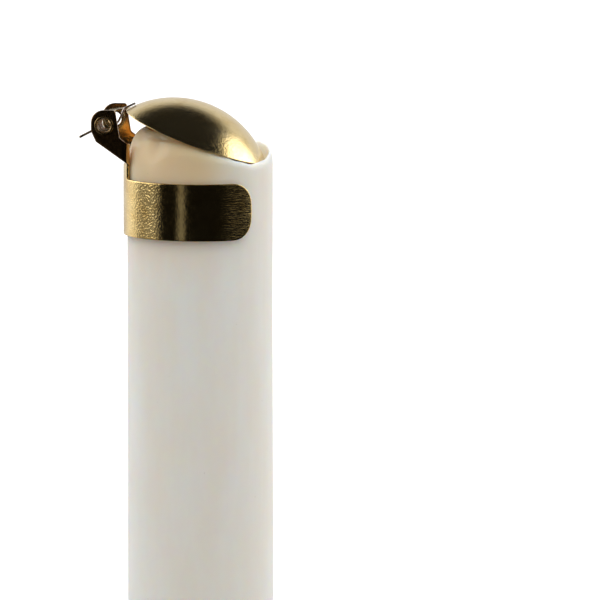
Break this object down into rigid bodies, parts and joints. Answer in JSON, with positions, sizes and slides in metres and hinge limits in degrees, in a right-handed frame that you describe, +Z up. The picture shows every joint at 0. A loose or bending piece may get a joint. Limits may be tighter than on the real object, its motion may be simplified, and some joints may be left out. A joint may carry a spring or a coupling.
{
  "type": "candle with clip-on snuffer",
  "caption": "Burnt-down ivory dinner candle with a sprung brass dome snuffer hinged on a C-shaped clip that slides on the wax.",
  "frame": {"origin": "centre of the candle's foot, on the face that it stands on", "axes": "+Z up along the candle's axis, -X towards the snuffer's hinge, Y along the hinge's axis"},
  "size_m": [0.0298, 0.0232, 0.124],
  "materials": {
    "core_wax": "satin",
    "coat_wax": "satin",
    "wick_cotton": "matte",
    "clip_brass": "satin",
    "rivet_brass": "satin",
    "dome_brass": "satin",
    "bracket_brass": "satin",
    "trip_brass": "satin",
    "spring_steel": "satin"
  },
  "bodies": {
    "candle": {"candle_core": "core_wax", "candle_coat": "coat_wax", "wick": "wick_cotton"},
    "clip": {"clip_band": "clip_brass", "eyelet_front": "rivet_brass", "eyelet_rear": "rivet_brass", "torsion_spring": "spring_steel"},
    "snuffer": {"snuffer_dome": "dome_brass", "dome_bracket": "bracket_brass", "trip_wire": "trip_brass"}
  },
  "joints": [
    {"name": "clip_slide", "type": "slide", "parent": "candle", "child": "clip", "axis": [0, 0, 1], "range_m": [0, 0.03]},
    {"name": "dome_flip", "type": "hinge", "parent": "clip", "child": "snuffer", "pos_m": [-0.0138, 0, 0.1202], "axis": [0, -1, 0], "range_deg": [0, 210], "stiffness_Nm_per_rad": 0.00018, "springref_deg": -85.94, "deforming": ["torsion_spring"]}
  ]
}
